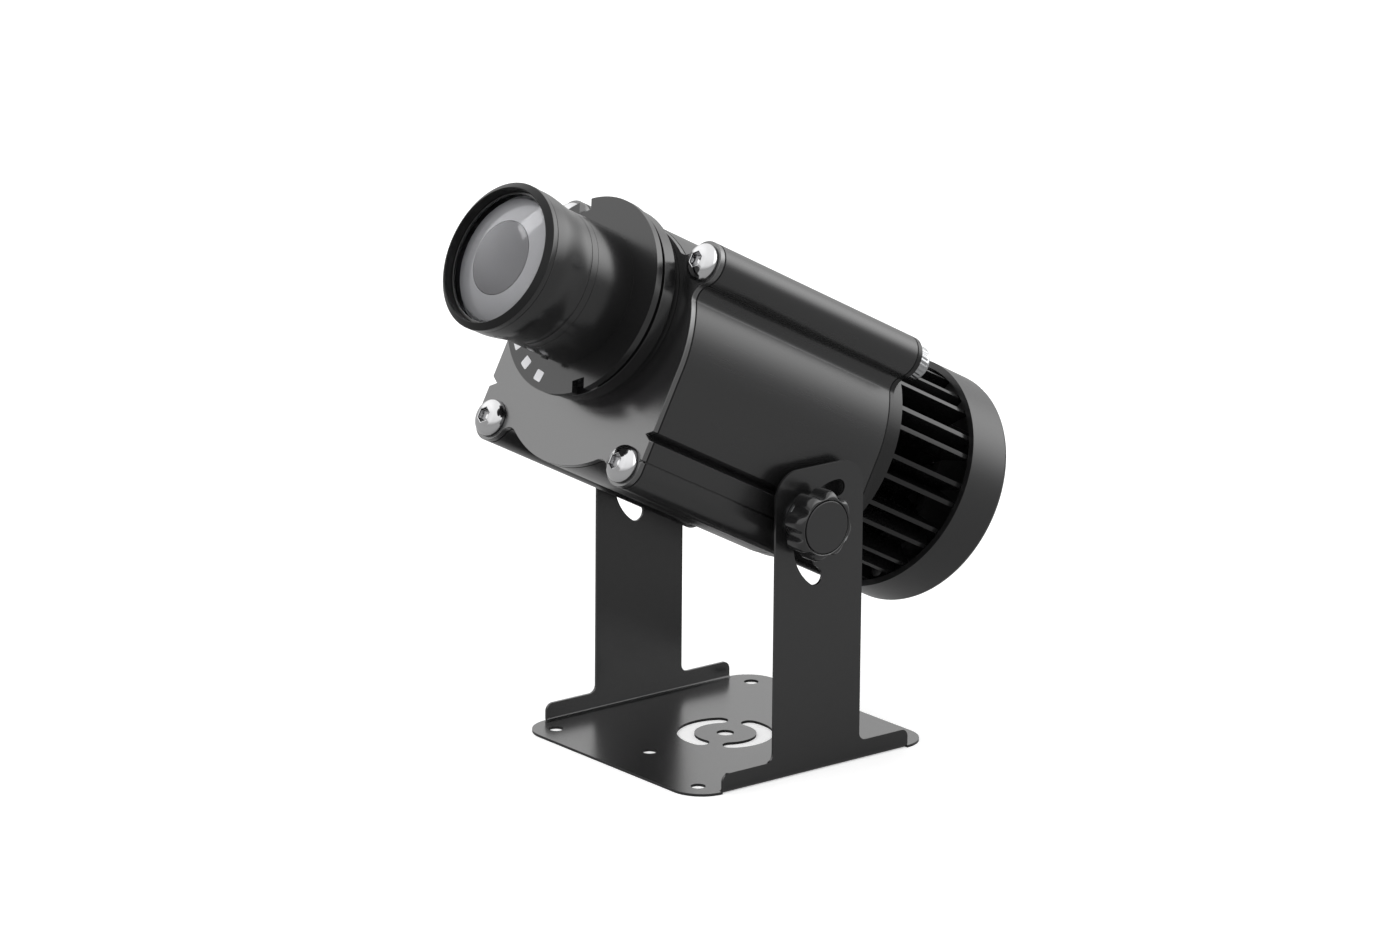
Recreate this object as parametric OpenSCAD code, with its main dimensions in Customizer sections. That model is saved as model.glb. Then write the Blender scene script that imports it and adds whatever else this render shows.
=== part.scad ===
// Gobo projector: a tilting lamp head on a bent U bracket. Sizes in millimetres.
// X runs across the two arms, the lens looks towards -Y and upwards, +Z is up.
// The origin is the centre of the base plate's underside.
// Head pieces are drawn in the head's own frame: z along the body, 0 at the front plate's
// face and positive towards the lens, y up, 0 at the middle of the four body screws.

/* [Bracket] */
// Width over the two arms
bracket_w = 105; // [102:0.5:125]
// Thickness of the bent steel sheet
sheet_t = 1; // [0.8:0.1:2.2]
// Depth of the base plate, front to back
base_depth = 113; // [106:1:150]
// Radius of the base plate's corners
base_corner_r = 12.5; // [9:0.5:15]
// Outer radius of the bend between plate and arms
bend_r = 2; // [0.8:0.1:2.5]
// Height of the turned-up side flanges
flange_h = 7.5; // [5:0.5:14]
// Radius at the ends of the flanges
flange_end_r = 3; // [1:0.5:4]
// Width of each arm
arm_w = 41; // [38:1:60]
// Height of the arms above the surface
arm_h = 116; // [113:0.5:125]
// Radius of the arms' top corners
arm_corner_r = 10; // [4:0.5:15]

/* [Base holes] */
// Distance between the corner holes, left to right
hole_pitch_x = 84; // [70:1:86]
// Distance between the corner holes, front to back
hole_pitch_y = 94; // [76:1:96]
// Distance between the two middle holes, front to back
mid_pitch = 72; // [60:1:80]
// Diameter of the corner and middle holes
screw_hole_d = 5.5; // [4:0.1:7]
// Diameter of the centre hole
centre_hole_d = 6.5; // [5:0.1:12]
// Radius of the arc slots' centre line
arc_r = 14.8; // [12:0.1:20]
// Width of the arc slots
arc_w = 6.5; // [5:0.1:8]
// Steel left between the two arc slots
arc_neck = 5.4; // [4:0.1:10]
// Direction of that steel, from +X
arc_turn = 126; // [0:1:180]

/* [Tilt] */
// Tilt of the lens above the horizontal as stored
tilt_deg = 27.8; // [0:0.1:60]
// Height of the tilt pivot above the surface
pivot_h = 88.7; // [86:0.1:94]
// Distance of the pivot behind the middle of the base
pivot_y = 8.5; // [4:0.5:10]
// Distance from the pivot to the clamp stud
clamp_reach = 17.5; // [17.2:0.1:19]
// Diameter of the pivot screws and clamp studs
stud_d = 6; // [5:0.5:6]
// Width of the arms' curved slots
slot_w = 6.5; // [6.3:0.1:8]
// Highest tilt that the slots allow
slot_up = 90; // [70:1:92]
// Lowest tilt that the slots allow
slot_down = -54.5; // [-60:0.5:-35]
// Running clearance of a pin in its hole, on the radius
run_gap = 0.05; // [0.02:0.01:0.1]

/* [Body] */
// Radius of the body's round outline
body_r = 46.8; // [46:0.1:47.2]
// Distance between the body screws, in both directions
boss_pitch = 77; // [76:0.5:78]
// Radius of the four screw tubes at the body's corners
boss_r = 8.3; // [7.5:0.1:8.5]
// Radius of the hollows between tubes and body
valley_r = 5; // [3:0.5:8]
// Length of the extruded body
body_len = 102.6; // [96:0.1:125]
// Wall of the extruded body
body_wall = 3; // [2:0.1:4]
// Thickness of the front plate
plate_t = 2.2; // [1.8:0.1:4]
// Thickness of the two gaskets
gasket_t = 0.6; // [0.4:0.1:1.5]
// Distance of the side rails below the body's middle
rail_drop = 31.3; // [30.8:0.1:31.8]
// Depth of the V groove above each rail
groove_d = 3.4; // [1:0.1:4]
// Width of that groove at the surface
groove_w = 3.8; // [2:0.1:4.5]
// Height of the flat land of each rail
land_h = 7.3; // [6.6:0.1:8]
// Depth that the rails reach into the body
rail_depth = 11.5; // [9:0.1:13]
// Diameter of the four body screws
body_screw_d = 8; // [6:0.5:8]

/* [Lens mount] */
// Height of the lens axis above the body's middle
axis_rise = 13; // [8:0.5:13.5]
// Outer radius of the mount collar
collar_r = 36.4; // [34.5:0.1:37]
// Height of the collar in front of the plate
collar_h = 9.75; // [9.5:0.25:12]
// Outer radius of the lens flange
disc_r = 37.3; // [36:0.1:38]
// Thickness of the lens flange
disc_t = 2.7; // [2:0.1:4]
// Gap between collar and lens flange
seal_h = 2.2; // [1.8:0.1:3]
// Width of the two spanner notches
notch_w = 5.8; // [3:0.1:8]
// Depth of the two spanner notches
notch_d = 4.5; // [2:0.1:6]
// Turn of the notches from straight down
notch_turn = 28; // [0:1:60]
// Turn that unlocks the bayonet
unlock_turn = 25; // [24:1:28]

/* [Lens barrel] */
// Outer radius of the lens barrel
barrel_r = 25.7; // [25:0.1:26.5]
// Wall of the fixed lens barrel
barrel_wall = 3.1; // [2.6:0.1:3.3]
// Length of the fixed barrel in front of its flange
barrel_len = 17.9; // [15:0.1:25]
// Length of the grip ring behind the sliding tube
grip_len = 2.9; // [2:0.1:5]
// Length of the sliding tube in front of the grip ring
tube_len = 22.5; // [20:0.1:32]
// Outer radius of the sliding tube's wide front
bezel_r = 27.5; // [27:0.1:29]
// Length of that wide front
bezel_len = 13.4; // [10:0.1:14]
// Wall of the sliding tube
bezel_wall = 2.5; // [1.8:0.1:2.6]
// Travel of the sliding tube for focus
focus_travel = 7; // [4:0.5:7.5]
// Depth of the front glass behind the rim
glass_recess = 2.4; // [1.8:0.1:4]

/* [Gobo and condenser] */
// Diameter of the gobo
gobo_d = 37.5; // [30:0.5:38]
// Thickness of the gobo
gobo_t = 1.1; // [0.5:0.1:1.5]
// Outer radius of the condenser tube
condenser_r = 22; // [21:0.5:24]
// Wall of the condenser tube
condenser_wall = 2; // [1.5:0.1:3]
// Length of the condenser tube
condenser_len = 88; // [70:1:90]

/* [Heat sink] */
// Thickness of the heat sink's flange
sink_flange_t = 7; // [5:0.5:10]
// Thickness of the four flange ears
ear_t = 2; // [1.5:0.1:4]
// Radius over the fin tips
fin_tip_r = 42.3; // [40:0.1:42.4]
// Number of forked fins
fin_count = 14; // [10:1:16]
// Thickness of a fin's stem
stem_t = 2.4; // [1.6:0.1:3]
// Thickness of a fin's two prongs
prong_t = 1.7; // [1:0.1:2]
// Radius where the fins fork
fork_r = 27; // [25:0.5:31]
// Angle between the two tips of one fin
fork_deg = 10.4; // [8:0.1:12]
// Radius of the heat sink's core
core_r = 17; // [13:0.5:20]
// Length of the open fins between flange and cap
fin_open = 41.5; // [30:0.5:50]

/* [Rear cap and fan] */
// Outer radius of the rear cap
cap_r = 45; // [44.8:0.1:46]
// Wall of the rear cap
cap_wall = 2.4; // [1.8:0.1:2.5]
// Thickness of the cap's rear wall
cap_back_t = 3; // [2:0.1:4]
// Width of the square fan
fan_w = 50; // [40:1:52]
// Thickness of the fan
fan_t = 15; // [10:1:20]
// Distance between the fan's screws
fan_pitch = 40; // [32:0.5:42]
// Number of fan blades
blade_count = 7; // [5:1:9]
// Distance of the cable grommet below the cap's middle
grommet_drop = 34; // [33.8:0.1:34.1]
// Diameter of the grommet's hole in the cap
grommet_hole_d = 12; // [10:0.5:12]
// Diameter of the cable that the grommet holds
cable_d = 6.5; // [4:0.5:7]

/* [Knobs] */
// Radius over the knob's lobes
knob_r = 13.2; // [12:0.1:13.4]
// Radius at the hollows between the lobes
knob_valley_r = 10.9; // [10.5:0.1:11.5]
// Radius of a lobe's tip
lobe_r = 3.1; // [2.5:0.1:3.4]
// Number of lobes
lobe_count = 8; // [6:1:8]
// Height of the lobed grip
knob_h = 9; // [7:0.5:14]
// Radius of the round cap in the knob
knob_cap_r = 9.7; // [8:0.1:9.8]
// Thickness of the loose washer under the knob
washer_t = 1.5; // [1:0.1:3]

/* [Hidden] */
$fn = 96;

seat_gap = 0.1;
slip_gap = 0.3;
cut = 1;
edge_step = 0.04;
stud_r = stud_d / 2;
hole_r = stud_r + run_gap;

arm_out = bracket_w / 2;
arm_in = arm_out - sheet_t;
flange_len = base_depth - 2 * base_corner_r;
bush_wall = 1.4;
bush_r = hole_r + bush_wall;

boss_at = boss_pitch / 2;
body_screw_r = body_screw_d / 2;
body_front = -plate_t - gasket_t;
body_back = body_front - body_len;
sink_front = body_back - gasket_t;
ear_back = sink_front - ear_t;
flange_back = sink_front - sink_flange_t;
cap_front = flange_back - fin_open;
fin_tuck = 1.9;
fin_end = cap_front - fin_tuck;
fan_front = fin_end - seat_gap;
fan_back = fan_front - fan_t;
cap_in = fan_back - seat_gap;
cap_back = cap_in - cap_back_t;
cavity_r = body_r - body_wall;

pivot_set = 95.7;
clamp_turn = 180 - tilt_deg;
body_half = max(body_r, boss_at + boss_r);
spacer_in = body_half + seat_gap;
spacer_out = arm_in - seat_gap;
spacer_r = 7;
screw_head_r = 4.5;
screw_head_h = 2.5;
thread_end = body_r - rail_depth + 2;

washer_in = arm_out + seat_gap;
washer_out = washer_in + washer_t;
washer_r = 9;
hub_h = 1.8;
hub_in = washer_out + seat_gap;
knob_in = hub_in + hub_h;
knob_out = knob_in + knob_h;
knob_cap_t = 1.2;

disc_back = collar_h + seal_h;
disc_front = disc_back + disc_t;
barrel_front = disc_front + barrel_len;
grip_front = barrel_front + seat_gap + grip_len;
tube_back = grip_front + seat_gap;
tube_front = tube_back + tube_len;
barrel_bore = barrel_r - barrel_wall;
sleeve_r = barrel_bore - run_gap;
sleeve_wall = 2;
sleeve_bore = sleeve_r - sleeve_wall;
sleeve_back = disc_back - 1.6;
rear_ring_top = sleeve_back - 0.4;
rear_ring_t = 1.3;
rear_lens_edge_t = 2;
rear_lens_rise = 2.7;
rear_lens_top = rear_ring_top - rear_ring_t - seat_gap;
stop_at = disc_front + 5.3;
stop_r = 1.5;
bezel_bore = bezel_r - bezel_wall;
spigot_r = 27;
spigot_bore = 20.5;
lip_r = spigot_r + slip_gap;
lug_r = 30.2;
pocket_r = lug_r + slip_gap;
pocket_low = 3.2;
pocket_high = 7;
holder_r = 26.6;
holder_h = 3;
collar_screw_r = 31;
gobo_r = gobo_d / 2;

// Moves head pieces from the head's frame to their place on the bracket.
module place_head() {
  translate([0, pivot_y, pivot_h])
    rotate([90 - tilt_deg, 0, 0])
      translate([0, rail_drop, pivot_set])
        children();
}

// Head pieces on the lens axis, drawn around their own z axis.
module on_lens_axis() {
  place_head() translate([0, axis_rise, 0]) children();
}

// Pieces on one side of the head: z points outwards from the middle plane, x runs backwards.
module on_side(side, reach) {
  place_head()
    translate([0, -rail_drop, reach - pivot_set])
      mirror([side < 0 ? 1 : 0, 0, 0])
        rotate([0, 90, 0])
          children();
}

// A ring or tube between two radii and two heights.
module ring(outer, inner, low, high) {
  translate([0, 0, low])
    difference() {
      cylinder(r = outer, h = high - low);
      translate([0, 0, -cut]) cylinder(r = inner, h = high - low + 2 * cut);
    }
}

// A pie slice that reaches past the radius r.
module sector(r, from, to) {
  steps = 8;
  polygon(concat([[0, 0]],
    [for (i = [0 : steps]) let (a = from + (to - from) * i / steps) [1.2 * r * cos(a), 1.2 * r * sin(a)]]));
}

// A curved slot with round ends.
module arc_slot(r, w, from, to) {
  intersection() {
    difference() {
      circle(r = r + w / 2);
      circle(r = r - w / 2);
    }
    sector(r + w, from, to);
  }
  for (a = [from, to]) rotate(a) translate([r, 0]) circle(r = w / 2 - edge_step);
}

// A rectangle from y = 0 upwards with two round top corners.
module round_top(w, h, r) {
  translate([-w / 2, 0]) square([w, h - r]);
  translate([-w / 2 + r, 0]) square([w - 2 * r, h]);
  for (s = [-1, 1]) translate([s * (w / 2 - r), h - r]) circle(r = r);
}

// A rectangle around the origin with four round corners.
module round_rect(w, d, r) {
  square([w - 2 * r, d], center = true);
  square([w, d - 2 * r], center = true);
  for (x = [-1, 1], y = [-1, 1]) translate([x * (w / 2 - r), y * (d / 2 - r)]) circle(r = r);
}

// The base plate's outline with its holes and arc slots.
module base_profile() {
  end_turn = (arc_neck / 2 + arc_w / 2) / arc_r * 180 / PI;
  difference() {
    round_rect(bracket_w, base_depth, base_corner_r);
    circle(d = centre_hole_d);
    for (x = [-1, 1], y = [-1, 1])
      translate([x * hole_pitch_x / 2, y * hole_pitch_y / 2]) circle(d = screw_hole_d);
    for (y = [-1, 1]) translate([0, y * mid_pitch / 2]) circle(d = screw_hole_d);
    for (a = [arc_turn, arc_turn + 180])
      arc_slot(arc_r, arc_w, a + end_turn, a + 180 - end_turn);
  }
}

// One arm with its flange, seen from the side: x is the object's Y, y is its Z.
module arm_profile() {
  neck_r = 3;
  difference() {
    union() {
      round_top(flange_len, flange_h, flange_end_r);
      round_top(arm_w, arm_h, arm_corner_r);
      difference() {
        translate([-arm_w / 2 - neck_r, 0]) square([arm_w + 2 * neck_r, flange_h + neck_r]);
        for (s = [-1, 1]) translate([s * (arm_w / 2 + neck_r), flange_h + neck_r]) circle(r = neck_r);
      }
    }
    translate([pivot_y, pivot_h]) {
      circle(r = bush_r + run_gap);
      arc_slot(clamp_reach, slot_w, 180 - slot_up, 180 - slot_down);
    }
  }
}

// The steel in the inner corner of a bend, which makes the bend as thick as the sheet.
module inner_bend() {
  side = bend_r - sheet_t / 2;
  difference() {
    translate([0, -side, -flange_len / 2]) cube([side, side, flange_len]);
    cylinder(r = bend_r - sheet_t - edge_step, h = flange_len + 2 * cut, center = true);
  }
}

module u_bracket() {
  color("DimGray")
  difference() {
    union() {
      linear_extrude(sheet_t) base_profile();
      for (s = [0, 1]) mirror([s, 0, 0])
        translate([arm_in, 0, 0]) rotate([90, 0, 90]) linear_extrude(sheet_t) arm_profile();
      if (bend_r > sheet_t + 2 * edge_step) for (s = [0, 1]) mirror([s, 0, 0])
        translate([arm_out - bend_r, 0, bend_r]) rotate([90, 0, 0]) inner_bend();
    }
    for (s = [0, 1]) mirror([s, 0, 0])
      translate([arm_out - bend_r, 0, bend_r]) rotate([90, 0, 0])
        difference() {
          translate([0, -bend_r - cut, 0]) translate([0, 0, -flange_len / 2])
            cube([bend_r + cut, bend_r + cut, flange_len]);
          cylinder(r = bend_r, h = flange_len + 2 * cut, center = true);
        }
  }
}

module pivot_bushes() {
  color("WhiteSmoke")
  for (s = [-1, 1]) on_side(s, 0) ring(bush_r, hole_r, arm_in, arm_out);
}

// The body's outline: a round housing with four screw tubes, flat lower sides and two rails.
module body_outline() {
  reach = boss_at * sqrt(2);
  near = body_r + valley_r;
  far = boss_r + valley_r;
  swing = acos((near * near + reach * reach - far * far) / (2 * near * reach));
  groove_y = rail_drop - land_h / 2 - groove_w / 2;
  spread = groove_w / 2 * (groove_d + cut) / groove_d;
  side_x = body_r - edge_step;
  seam_w = 0.7;
  seam_d = 1.2;
  difference() {
    union() {
      circle(r = body_r);
      translate([-side_x, -boss_at]) square([2 * side_x, boss_at]);
      for (q = [45 : 90 : 315]) {
        rotate(q) translate([reach, 0]) circle(r = boss_r);
        difference() {
          polygon([[0, 0], [near * cos(q - swing), near * sin(q - swing)],
            [reach * cos(q), reach * sin(q)], [near * cos(q + swing), near * sin(q + swing)]]);
          for (s = [-1, 1]) rotate(q + s * swing) translate([near, 0]) circle(r = valley_r + edge_step);
        }
      }
    }
    for (s = [0, 1]) mirror([s, 0]) {
      polygon([[body_r - groove_d, -groove_y], [body_r + cut, -groove_y - spread],
        [body_r + cut, -groove_y + spread]]);
      translate([body_r - seam_d, -rail_drop - land_h / 2 - seam_w]) square([seam_d + cut, seam_w]);
    }
  }
}

// The body's inside, with the two rails and the card slots left standing.
module body_cavity() {
  block = 14;
  card_y = card_drop();
  difference() {
    union() {
      circle(r = cavity_r);
      translate([-cavity_r, -rail_drop]) square([2 * cavity_r, rail_drop]);
    }
    for (s = [0, 1]) mirror([s, 0]) {
      translate([body_r - rail_depth, -rail_drop - block / 2]) square([rail_depth, block]);
      for (y = [card_y - card_t() / 2 - slip_gap - card_rib(), card_y + card_t() / 2 + slip_gap])
        translate([cavity_r - card_hold(), y]) square([card_hold() + cut, card_rib()]);
    }
  }
}
function card_drop() = -17;
function card_t() = 1.6;
function card_rib() = 1.4;
function card_hold() = 3.4;

module at_bosses(offset = boss_at) {
  for (x = [-1, 1], y = [-1, 1]) translate([x * offset, y * offset, 0]) children();
}

module body_extrusion() {
  color("SlateGray")
  place_head()
  difference() {
    translate([0, 0, body_back]) linear_extrude(body_len) difference() {
      body_outline();
      body_cavity();
      at_bosses() circle(r = body_screw_r + run_gap);
    }
    for (s = [0, 1], reach = [0, clamp_reach]) mirror([s, 0, 0])
      translate([body_r - rail_depth - cut, -rail_drop, reach - pivot_set]) rotate([0, 90, 0])
        cylinder(r = hole_r, h = rail_depth + 2 * cut);
  }
}

// The three small screws that hold collar, front plate and condenser tube together.
module at_collar_screws() {
  for (a = [30, 150, 270]) rotate(a) translate([collar_screw_r, 0, 0]) children();
}

module front_plate() {
  color("Gray")
  place_head()
  translate([0, 0, -plate_t]) linear_extrude(plate_t) difference() {
    body_outline();
    at_bosses() circle(r = body_screw_r + slip_gap);
    translate([0, axis_rise]) circle(r = condenser_r + seat_gap);
    translate([0, axis_rise]) at_collar_screws() circle(r = 1.6);
  }
}

module gasket(front) {
  place_head()
  translate([0, 0, front - gasket_t]) linear_extrude(gasket_t) difference() {
    body_outline();
    circle(r = cavity_r);
    at_bosses() circle(r = body_screw_r + slip_gap);
  }
}
module front_gasket() { color("Black") gasket(-plate_t); }
module rear_gasket() { color("Black") gasket(body_back); }

// A hexagon socket, open towards +z, of a given width across its flats.
module hex_socket(flats, depth, top) {
  translate([0, 0, top - depth]) cylinder(d = flats / cos(30), h = depth + cut, $fn = 6);
}

// A button head screw: head from z = 0 upwards, shank below.
module button_screw(shank_r, length, head_r, head_h, flats) {
  crown = 0.18 * head_h;
  dome_r = 1.09 * head_r;
  difference() {
    intersection() {
      cylinder(r = head_r, h = head_h);
      translate([0, 0, crown - sqrt(dome_r * dome_r - head_r * head_r)]) sphere(r = dome_r);
    }
    hex_socket(flats, 0.6 * head_h, head_h);
  }
  translate([0, 0, -length]) cylinder(r = shank_r, h = length);
}

// A socket cap screw with a small chamfer round its head.
module cap_screw(shank_r, length, head_r, head_h, flats) {
  chamfer = 0.1 * head_h;
  difference() {
    union() {
      cylinder(r = head_r, h = head_h - chamfer);
      translate([0, 0, head_h - chamfer]) cylinder(r1 = head_r, r2 = head_r - chamfer, h = chamfer);
    }
    hex_socket(flats, 0.55 * head_h, head_h);
  }
  translate([0, 0, -length]) cylinder(r = shank_r, h = length);
}

module front_screws() {
  color("Silver")
  place_head() at_bosses() button_screw(body_screw_r, 22, body_screw_r + 3, 4.4, 5);
}

module rear_screws() {
  color("Gainsboro")
  place_head() translate([0, 0, ear_back]) mirror([0, 0, 1]) at_bosses()
    cap_screw(body_screw_r, 20, body_screw_r + 2.5, 5.5, 6);
}

module pivot_screws() {
  color("Silver")
  for (s = [-1, 1]) on_side(s, 0) translate([0, 0, arm_out + seat_gap])
    button_screw(stud_r, arm_out + seat_gap - thread_end, screw_head_r, screw_head_h, 3);
}

module pivot_spacers() {
  color("WhiteSmoke")
  for (s = [-1, 1]) on_side(s, 0) ring(spacer_r, hole_r, spacer_in, spacer_out);
}

module clamp_spacers() {
  color("WhiteSmoke")
  for (s = [-1, 1]) on_side(s, clamp_reach) ring(spacer_r, hole_r, spacer_in, spacer_out);
}

// The collar narrows in a curve towards the plate and has a bayonet pocket inside.
module mount_collar() {
  waist = 2.2;
  waist_h = 5.5;
  gap_turn = 24;
  color("DimGray")
  on_lens_axis()
  difference() {
    rotate_extrude() difference() {
      translate([lip_r, 0]) square([collar_r - lip_r, collar_h]);
      translate([collar_r + waist_h - waist, 0]) circle(r = waist_h);
      translate([0, -cut]) square([holder_r + seat_gap, holder_h + cut]);
    }
    ring_cut(pocket_r, pocket_low, pocket_high);
    for (a = [0, 120, 240]) translate([0, 0, pocket_low]) linear_extrude(collar_h)
      intersection() {
        circle(r = pocket_r);
        sector(pocket_r, a + unlock_turn - gap_turn / 2, a + unlock_turn + gap_turn / 2);
      }
    translate([0, 0, -cut]) at_collar_screws() cylinder(r = 1.5 + run_gap, h = pocket_low + 2 * cut);
  }
}
module ring_cut(r, low, high) {
  translate([0, 0, low]) cylinder(r = r, h = high - low);
}

module collar_screws() {
  color("Silver")
  on_lens_axis() translate([0, 0, -plate_t - condenser_flange_t()]) mirror([0, 0, 1]) at_collar_screws()
    cap_screw(1.5, plate_t + condenser_flange_t() + pocket_low - 0.5, 2.75, 3, 2.5);
}
function condenser_flange_t() = 2.4;

// The gobo sits in a stepped ring that drops out when the lens is taken off.
module gobo_holder() {
  color("Gold")
  on_lens_axis()
  difference() {
    cylinder(r = holder_r, h = holder_h);
    translate([0, 0, -cut]) cylinder(r = gobo_r - 1.8, h = holder_h + 2 * cut);
    translate([0, 0, holder_h - gobo_t - 0.9]) cylinder(r = gobo_r + seat_gap, h = holder_h);
    for (a = [0, 180]) rotate(a) translate([gobo_r - 1, -3, holder_h - gobo_t - 0.9]) cube([4, 6, holder_h]);
  }
}

// A plain test pattern: a centre spot and a ring of equal windows.
module gobo_disc() {
  windows = 12;
  color("Silver")
  on_lens_axis() translate([0, 0, holder_h - gobo_t - 0.8]) linear_extrude(gobo_t)
  difference() {
    circle(r = gobo_r);
    circle(r = 0.12 * gobo_r);
    for (i = [1 : windows]) rotate(i * 360 / windows) translate([0.5 * gobo_r, 0]) circle(r = 0.08 * gobo_r);
  }
}

module gobo_spring() {
  color("Silver")
  on_lens_axis() difference() {
    ring(gobo_r, gobo_r - 1.2, holder_h - 0.75, holder_h - 0.05);
    translate([0, -gobo_r, 0]) cube([8, 10, 10], center = true);
  }
}

// Condenser: a tube behind the front plate with two lenses, a spacer and a retaining ring.
condenser_bore = condenser_r - condenser_wall;
condenser_back = -plate_t - condenser_len;
lens_edge_t = 3;
rear_lens_at = condenser_back + 6;
front_lens_at = rear_lens_at + lens_edge_t + 30;

module condenser_tube() {
  flange_r = 26;
  ear_r = 4;
  shelf = 1.5;
  color("DarkSlateGray")
  on_lens_axis() difference() {
    union() {
      translate([0, 0, condenser_back]) cylinder(r = condenser_r, h = condenser_len + plate_t - seat_gap);
      translate([0, 0, -plate_t - condenser_flange_t()]) linear_extrude(condenser_flange_t()) {
        circle(r = flange_r);
        at_collar_screws() circle(r = ear_r);
        for (a = [30, 150, 270]) rotate(a) translate([0, -ear_r]) square([collar_screw_r, 2 * ear_r]);
      }
    }
    translate([0, 0, rear_lens_at]) cylinder(r = condenser_bore, h = condenser_len);
    translate([0, 0, condenser_back - cut]) cylinder(r = condenser_bore - shelf, h = condenser_len);
    translate([0, 0, -plate_t - condenser_flange_t() - cut]) at_collar_screws() cylinder(r = 1.6, h = 8);
  }
}

// A plano-convex lens: flat edge band, then a dome of a given height.
module dome_lens(r, edge, rise) {
  ball = (r * r + rise * rise) / (2 * rise);
  cylinder(r = r, h = edge);
  intersection() {
    translate([0, 0, edge]) cylinder(r = r, h = rise + cut);
    translate([0, 0, edge + rise - ball]) sphere(r = ball);
  }
}

condenser_rise = 7;
module condenser_lens_rear() {
  color("LightCyan")
  on_lens_axis() translate([0, 0, rear_lens_at]) dome_lens(condenser_bore - seat_gap, lens_edge_t, condenser_rise);
}

module condenser_lens_front() {
  color("LightCyan")
  on_lens_axis() translate([0, 0, front_lens_at + lens_edge_t]) mirror([0, 0, 1])
    dome_lens(condenser_bore - seat_gap, lens_edge_t, condenser_rise);
}

module condenser_spacer() {
  color("DarkSlateGray")
  on_lens_axis() ring(condenser_bore - seat_gap, condenser_bore - 1.2,
    rear_lens_at + lens_edge_t + 0.95, front_lens_at - 0.95);
}

module condenser_retainer() {
  color("DarkSlateGray")
  on_lens_axis() ring(condenser_bore - seat_gap, condenser_bore - 2,
    front_lens_at + lens_edge_t + seat_gap, front_lens_at + lens_edge_t + 3);
}

module at_led_screws() {
  for (s = [-1, 1]) translate([s * 13, 0, 0]) children();
}

module led_board() {
  color("White")
  on_lens_axis() translate([0, 0, sink_front]) linear_extrude(1.6) difference() {
    circle(r = 17);
    at_led_screws() circle(r = 1.6);
  }
}

module led_emitter() {
  color("Khaki")
  on_lens_axis() translate([0, 0, sink_front + 1.6]) {
    linear_extrude(0.8) square(14, center = true);
    translate([0, 0, 0.8]) dome_lens(5, 0.3, 1.2);
  }
}

module led_screws() {
  color("Silver")
  on_lens_axis() translate([0, 0, sink_front + 1.6]) at_led_screws() button_screw(1.5, 5, 2.75, 1.6, 2);
}

// The power supply's card slides in the body's card slots, parts downwards.
card_len = 70;
card_mid = (body_front + body_back) / 2;
module driver_board() {
  half = cavity_r - slip_gap;
  color("SeaGreen")
  place_head() translate([-half, card_drop() - card_t() / 2, card_mid - card_len / 2])
    cube([2 * half, card_t(), card_len]);
}

module driver_parts() {
  under = card_drop() - card_t() / 2;
  color("DarkOliveGreen")
  place_head() translate([0, under, card_mid]) {
    translate([-13, -17, -12]) cube([26, 17, 24]);
    for (z = [-26, 26]) translate([-8, 0, z]) rotate([90, 0, 0]) cylinder(r = 6, h = 16);
    translate([4, -12, 17]) cube([14, 12, 14]);
    translate([3, -9, -33]) cube([16, 9, 10]);
    translate([-26, -14, -20]) cube([4, 14, 38]);
  }
}

// One forked fin, seen along the body: a stem from the core and two prongs, ended by the tip circle.
module fin_profile() {
  run = fin_tip_r * cos(fork_deg / 2) - fork_r;
  side = fin_tip_r * sin(fork_deg / 2);
  square_from = core_r - 2;
  translate([square_from, -stem_t / 2]) square([fork_r + 0.5 - square_from, stem_t]);
  for (s = [-1, 1]) translate([fork_r, 0]) rotate(s * atan(side / run)) translate([-0.6, -prong_t / 2])
    square([fin_tip_r, prong_t]);
}

module at_fan_screws() {
  for (x = [-1, 1], y = [-1, 1]) translate([x * fan_pitch / 2, y * fan_pitch / 2, 0]) children();
}

// Flange, thin screw ears, core and forked fins are one casting.
module heat_sink() {
  post_r = 4;
  post_len = 12;
  fan_screw_r = 2;
  color("DimGray")
  place_head() difference() {
    union() {
      translate([0, 0, ear_back]) linear_extrude(ear_t) body_outline();
      translate([0, 0, flange_back]) cylinder(r = body_r - 0.3, h = sink_flange_t - ear_t / 2);
      translate([0, 0, fin_end]) cylinder(r = core_r, h = flange_back - fin_end + cut);
      translate([0, 0, fin_end]) linear_extrude(flange_back - fin_end + cut) intersection() {
        circle(r = fin_tip_r);
        for (i = [0 : fin_count - 1]) rotate(i * 360 / fin_count) fin_profile();
      }
      translate([0, 0, fin_end]) at_fan_screws() cylinder(r = post_r, h = post_len);
    }
    at_bosses() translate([0, 0, ear_back - cut]) cylinder(r = body_screw_r + slip_gap, h = ear_t + 2 * cut);
    translate([0, 0, fin_end - cut]) at_fan_screws() cylinder(r = fan_screw_r + run_gap, h = post_len + cut);
    translate([0, axis_rise, sink_front - 6]) at_led_screws() cylinder(r = 1.5 + run_gap, h = 6 + cut);
    translate([0, -grommet_drop, flange_back - cut]) cylinder(r = 3.2, h = sink_flange_t + 2 * cut);
  }
}

// Rings of air slots in the cap's back, cut by four spokes.
module grille_profile() {
  rib = 1.6;
  air = 3.2;
  spoke = 3;
  difference() {
    for (i = [1 : 4]) difference() {
      circle(r = 5 + i * (air + rib));
      circle(r = 5 + i * (air + rib) - air);
    }
    for (a = [45, 135]) rotate(a) square([fan_w, spoke], center = true);
  }
}

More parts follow.
